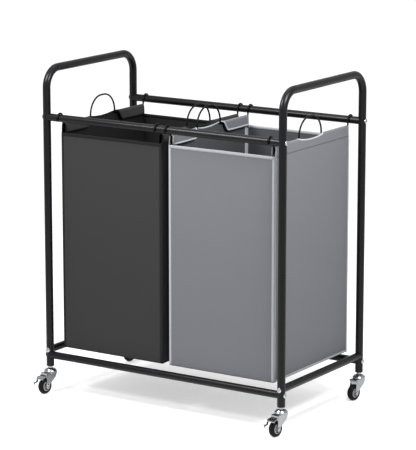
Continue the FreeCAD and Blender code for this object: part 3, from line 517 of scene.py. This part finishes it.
def cloth_end(bag, y):
    """Distance up the cloth, from the panels' top, to its free edge. In the cut-out the edge lies on
    a circle whose radius is half the cut's length squared plus its depth squared, over twice the
    depth; away from it the whole sleeve and flap are there, after a slanting step."""
    rise = bag["top"] - FOLD_R - bag["panel_top"]
    whole = rise + math.pi * FOLD_R + (FLAP_END_DROP - FOLD_R)
    dy = np.abs(y - HAND_CUT_Y)
    circle = (HAND_CUT_HALF ** 2 + HAND_CUT_DEPTH ** 2) / (2 * HAND_CUT_DEPTH)
    dip = circle - np.sqrt(circle ** 2 - np.clip(dy, 0, HAND_CUT_HALF) ** 2)
    height = bag["top"] - HAND_CUT_DEPTH + dip
    lean = np.arcsin(np.clip((height - (bag["top"] - FOLD_R)) / FOLD_R, 0, 1))
    cut = np.minimum(height - bag["panel_top"], rise) + FOLD_R * lean
    ramp = np.where(y < HAND_CUT_Y, FRONT_RAMP, BACK_RAMP)
    return cut + (whole - cut) * smooth((dy - HAND_CUT_HALF) / ramp)


def on_side(bag, up, y):
    """Points on the right-hand side wall's upper end and their outward directions, about the bag's
    centre. Straight up, then round a half circle over the wire, then down; the flap swings in a
    little and waves, more towards its free edge."""
    up, y = np.broadcast_arrays(np.asarray(up, float), np.asarray(y, float))
    rise = bag["top"] - FOLD_R - bag["panel_top"]
    angle = np.clip((up - rise) / FOLD_R, 0, math.pi)
    down = np.clip(up - rise - math.pi * FOLD_R, 0, None)
    swing = (down / FLAP_END_DROP) * (1.4 + 0.9 * np.sin(y / (19 * MM) + bag["seed"])) * MM
    x = bag["half_x"] - FOLD_R + FOLD_R * np.cos(angle) - swing
    z = bag["panel_top"] + np.clip(up, 0, rise) + FOLD_R * np.sin(angle) - down
    narrow = 1 - 0.006 * smooth(up / rise)
    outward = np.stack([np.cos(angle), np.zeros_like(angle), np.sin(angle)], -1)
    return np.stack([x, y * narrow, z], -1), outward


def side_places(bag):
    """Places along Y of a side wall's columns: every few millimetres, and much closer together in the
    two slanting steps beside the cut-out, where the edge of the cloth goes over the wire."""
    half = bag["half_y"] - CORNER_R
    even = np.linspace(-half, half, round(2 * half / COLUMN_PITCH) + 1)
    front_end, back_start = HAND_CUT_Y - HAND_CUT_HALF, HAND_CUT_Y + HAND_CUT_HALF
    for low, high in ((front_end - FRONT_RAMP, front_end), (back_start, back_start + BACK_RAMP)):
        close = np.linspace(low, high, round((high - low) / STEP_PITCH) + 1)
        even = np.sort(np.concatenate([even[(even < low - STEP_PITCH) | (even > high + STEP_PITCH)], close]))
    return even


def body_patches(bag):
    """The bag's one cloth as patches that meet: fold and walls, floor, and two upper ends. The fold at
    the floor is a quarter circle; the floor sinks in the middle as a product of two arches."""
    shift = np.array([bag["x"], 0.0, 0.0])
    y = side_places(bag)
    (front_start, front_end), (right_start, _), (back_start, back_end), (left_start, _) = bag["panels"]
    level = [np.linspace(a, b, round((b - a) / COLUMN_PITCH) + 1)
             for a, b in ((front_start, front_end), (back_start, back_end))]
    upright = [right_start + y - y[0], left_start + (y[-1] - y)[::-1]]
    s = np.sort(np.concatenate(level + upright + [np.linspace(a, b, 6)[1:-1] for a, b in bag["corners"]]
                               + [bag["run"][-1:]]))
    turn = np.linspace(math.pi / 2, 0, 5)
    inset = np.concatenate([CORNER_R * (1 - np.cos(turn)), np.zeros(WALL_ROWS)])
    wall_z = np.linspace(bag["bottom"] + CORNER_R, bag["panel_top"], WALL_ROWS + 1)[1:]
    z = np.concatenate([bag["bottom"] + CORNER_R * (1 - np.sin(turn)), wall_z])
    points, outward = on_wall(bag, s[None, :], z[:, None], 0.0)
    points = points - outward * inset[:, None, None]
    run_up = np.concatenate([z[4] - CORNER_R * turn, wall_z])
    uv = np.stack(np.broadcast_arrays(s[None, :], run_up[:, None]), -1)
    walls = (points.reshape(-1, 3) + shift, [grid_faces(len(z), len(s))], uv)

    x = np.linspace(-1, 1, round((bag["panels"][0][1]) / COLUMN_PITCH) + 1) * (bag["half_x"] - CORNER_R)
    gx, gy = np.meshgrid(x, y)
    sag = FLOOR_SAG * (1 - (gx / x[-1]) ** 2) * (1 - (gy / y[-1]) ** 2)
    floor_points = np.stack([gx, gy, bag["bottom"] - sag], -1).reshape(-1, 3)
    floor = (floor_points + shift, [grid_faces(len(y), len(x))[:, ::-1]], np.stack([gx, gy], -1))

    share = np.linspace(0, 1, FLAP_ROWS)[:, None]
    up = share * cloth_end(bag, y)[None, :]
    points, _ = on_side(bag, up, y[None, :])
    uv = np.stack(np.broadcast_arrays(y[None, :], bag["panel_top"] + up), -1)
    right = (points.reshape(-1, 3), [grid_faces(len(share), len(y))], uv)
    return [walls, floor, moved(right, shift), moved(mirrored(right), shift)]


for name, bag in bags.items():
    piece = make_piece(name + "_cloth", body_patches(bag), name + "_set",
                       [CLOTH[name]["outside"], CLOTH[name]["inside"]], merge=0.05 * MM)
    # the inner faces take the darker inside cloth: painted shade inside the bag
    thicken(piece, CLOTH_THICKNESS, inner_material=1)
    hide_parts(name)

# %% [markdown]
# ## Bindings
# Woven tape covers every raw edge: strips round the four upright corners, a folded band along the top
# of the front and back panels, a narrow fold along the free edge of each side wall, strips in the
# corners inside, and a strip along the foot of each side wall. It is white on the gray bag and
# black on the black one.

# %% Tapes and edge bindings
TAPE_REACH = 4 * MM
TAPE_THICKNESS = 0.6 * MM
STRIP_ROWS = 70
BAND_SAMPLES = 76
EDGE_STEP = 1 * MM
EDGE_CLIMB = 40
EDGE_ROUNDS = 6


def wall_strip(bag, s_low, s_high, z_low, z_high, lift):
    """A strip on the walls between two distances and two heights, raised by lift."""
    s = np.linspace(s_low, s_high, max(8, round((s_high - s_low) / COLUMN_PITCH) + 1))
    z = np.linspace(z_low, z_high, STRIP_ROWS if z_high - z_low > 50 * MM else 4)
    points, _ = on_wall(bag, s[None, :], z[:, None], lift)
    uv = np.stack(np.broadcast_arrays(s[None, :] - s_low, z[:, None]), -1)
    return points.reshape(-1, 3) + np.array([bag["x"], 0.0, 0.0]), [grid_faces(len(z), len(s))], uv


def corner_span(bag, k, reach):
    """The distances round the outline on either side of corner k, reaching onto both walls."""
    start, end = bag["corners"][k]
    return start - reach, end + reach


def wrapped_strip(bag, k, z_low, z_high, lift, reach):
    """Corner strip; the last corner runs over the outline's start, so it is cut in two there."""
    low, high = corner_span(bag, k, reach)
    whole = bag["run"][-1]
    if high <= whole:
        return [wall_strip(bag, low, high, z_low, z_high, lift)]
    return [wall_strip(bag, low, whole, z_low, z_high, lift),
            wall_strip(bag, 0.0, high - whole, z_low, z_high, lift)]


def panel_band(bag, k):
    """Folded band over the top edge of panel k: a U of tape, carried along the edge."""
    start, end = bag["panels"][k]
    s = np.linspace(start, end, BAND_SAMPLES)
    path, outward = on_wall(bag, s, bag["panel_top"], 0.0)
    up = np.tile([0.0, 0.0, 1.0], (len(s), 1))
    profile = np.array([(0.1, -7), (0.7, -6.9), (0.75, 0.1), (0.3, 0.8),
                        (-1.2, 0.8), (-1.65, 0.1), (-1.6, -6.9), (-1.0, -7)]) * MM
    return moved(carried(path, outward, up, profile[::-1]), (bag["x"], 0.0, 0.0))


def free_edge(bag):
    """The free edge of a side wall's upper end, from its front foot over the top to its back foot:
    path, outward direction and the direction that points off the cloth, which is the outward
    direction's cross product with the path's own. The places along Y lie at even steps of the edge's
    own length, and a few rounds of averaging each point with its two neighbours round the corners."""
    half = bag["half_y"] - CORNER_R
    fine = np.linspace(-half, half, 4001)
    along = distance_run(np.stack([fine, cloth_end(bag, fine)], -1))
    y = np.interp(np.linspace(0, along[-1], round(along[-1] / EDGE_STEP)), along, fine)
    end = cloth_end(bag, y)
    climb = np.linspace(0, 1, EDGE_CLIMB)
    up = np.concatenate([climb[:-1] * end[0], end, climb[::-1][1:] * end[-1]])
    y = np.concatenate([np.full(EDGE_CLIMB - 1, -half), y, np.full(EDGE_CLIMB - 1, half)])
    path, outward = on_side(bag, up, y)
    for _ in range(EDGE_ROUNDS):
        path[1:-1] = (path[:-2] + path[1:-1] + path[2:]) / 3
    tangent = unit(np.gradient(path, axis=0))
    off = unit(np.cross(outward, tangent))
    return path, outward, off


def edge_binding(bag):
    """Narrow folded tape along the free edge of the right-hand side wall."""
    path, outward, off = free_edge(bag)
    half = CLOTH_THICKNESS / 2 / MM + 0.5
    middle = -CLOTH_THICKNESS / 2 / MM
    profile = np.array([(middle - half, -3.4), (middle - half, 0.2), (middle - 0.5 * half, 0.6),
                        (middle + 0.5 * half, 0.6), (middle + half, 0.2), (middle + half, -3.4)]) * MM
    return carried(path, outward, off, profile[::-1])


tapes = {}
for name, bag in bags.items():
    shift = (bag["x"], 0.0, 0.0)
    foot, panel_top = bag["bottom"] + CORNER_R, bag["panel_top"]
    outside_lift = TAPE_THICKNESS + 0.1 * MM
    outside = [strip for k in range(4)
               for strip in wrapped_strip(bag, k, foot - 2 * MM, panel_top, outside_lift, TAPE_REACH)]
    inside = [strip for k in range(4)
              for strip in wrapped_strip(bag, k, foot + 4 * MM, panel_top - 1 * MM,
                                         -CLOTH_THICKNESS - 0.1 * MM, TAPE_REACH)]
    feet = [wall_strip(bag, *bag["panels"][k], foot - 1 * MM, foot + 4 * MM, TAPE_THICKNESS) for k in (1, 3)]
    flat_tapes = make_piece(name + "_corner_tapes", outside + inside + feet, name + "_set",
                            [CLOTH[name]["tape"]], merge=0.02 * MM)
    thicken(flat_tapes, TAPE_THICKNESS)
    bands = make_piece(name + "_panel_bands", [panel_band(bag, 0), panel_band(bag, 2)], name + "_set",
                       [CLOTH[name]["tape"]])
    edge = edge_binding(bag)
    edges = make_piece(name + "_edge_bindings", [moved(edge, shift), moved(mirrored(edge), shift)],
                       name + "_set", [CLOTH[name]["tape"]])
    tapes[name] = [flat_tapes, bands, edges]
    print(name, "tapes:", sum(len(t.data.polygons) for t in tapes[name]), "faces")

# %% [markdown]
# ## Stitching
# Rows of short thread beads hold the tapes and the sleeves: one row along each band, one along each
# border of every corner tape, one along each foot strip, and a close double row of heavier, darker
# thread along each side wall where the sleeve begins.

# %% Stitch rows
STITCH_PITCH = 4.0 * MM
STITCH_LENGTH = 2.9 * MM
THREAD_R = 0.28 * MM
SEAM_THREAD_R = 0.40 * MM
SEAM_STITCH_LENGTH = 3.6 * MM
ROW_INSET = 1.2 * MM
BAND_ROW_DROP = 5.6 * MM
FOOT_ROW_RISE = 3 * MM
SEAM_HEIGHTS = (-0.6 * MM, 1.0 * MM)
ROW_SAMPLES = 90


def wall_row(bag, s, z, lift):
    """A stitch row on the walls along matching distances and heights."""
    s, z = np.broadcast_arrays(np.asarray(s, float), np.asarray(z, float))
    path, outward = on_wall(bag, s, z, 0.0)
    return stitch_row(path + np.array([bag["x"], 0.0, 0.0]), outward, STITCH_PITCH, lift)


for name, bag in bags.items():
    panel_top = bag["panel_top"]
    on_tape = TAPE_THICKNESS + 0.25 * MM
    heights = np.linspace(bag["bottom"] + CORNER_R, panel_top - 8 * MM, ROW_SAMPLES)
    rows = []
    for start, end in bag["panels"]:
        rows += [wall_row(bag, start + TAPE_REACH - ROW_INSET, heights, on_tape),
                 wall_row(bag, end - TAPE_REACH + ROW_INSET, heights, on_tape)]
    band_row, foot_row = panel_top - BAND_ROW_DROP, bag["bottom"] + CORNER_R + FOOT_ROW_RISE
    for k, height in ((0, band_row), (2, band_row), (1, foot_row), (3, foot_row)):
        rows.append(wall_row(bag, np.linspace(*bag["panels"][k], ROW_SAMPLES), height, on_tape))
    seams = [wall_row(bag, np.linspace(*bag["panels"][k], ROW_SAMPLES), panel_top + height, 0.15 * MM)
             for k in (1, 3) for height in SEAM_HEIGHTS]
    thread = stitches(name + "_stitches", rows, STITCH_LENGTH, THREAD_R, name + "_set", CLOTH[name]["thread"])
    seam = stitches(name + "_sleeve_seams", seams, SEAM_STITCH_LENGTH, SEAM_THREAD_R, name + "_set",
                    CLOTH[name]["seam"])
    tapes[name] += [thread, seam]
    print(name, "stitches:", (len(thread.data.vertices) + len(seam.data.vertices)) // 20)

# %% [markdown]

# %% [markdown]
# ## Floor
# A wide pale floor that runs far behind the object. It glows a little, as a light table does, so that
# the shadows under the casters and the bags stay faint.

# %% Floor
FLOOR_REACH = 14.0
FLOOR_GLOW = 0.45

floor_mesh = bpy.data.meshes.new("floor")
corners = [(-FLOOR_REACH, -FLOOR_REACH, 0.0), (FLOOR_REACH, -FLOOR_REACH, 0.0),
           (FLOOR_REACH, FLOOR_REACH, 0.0), (-FLOOR_REACH, FLOOR_REACH, 0.0)]
floor_mesh.from_pydata(corners, [], [(0, 1, 2, 3)])
light_table = new_material("matt white light table", "#d8d8d8", 0.9, Emission_Color=ink("#ffffff"),
                           Emission_Strength=FLOOR_GLOW)[0]
floor_mesh.materials.append(light_table)
floor = bpy.data.objects.new("floor", floor_mesh)
bpy.context.scene.collection.objects.link(floor)
print("floor", 2 * FLOOR_REACH, "m wide")
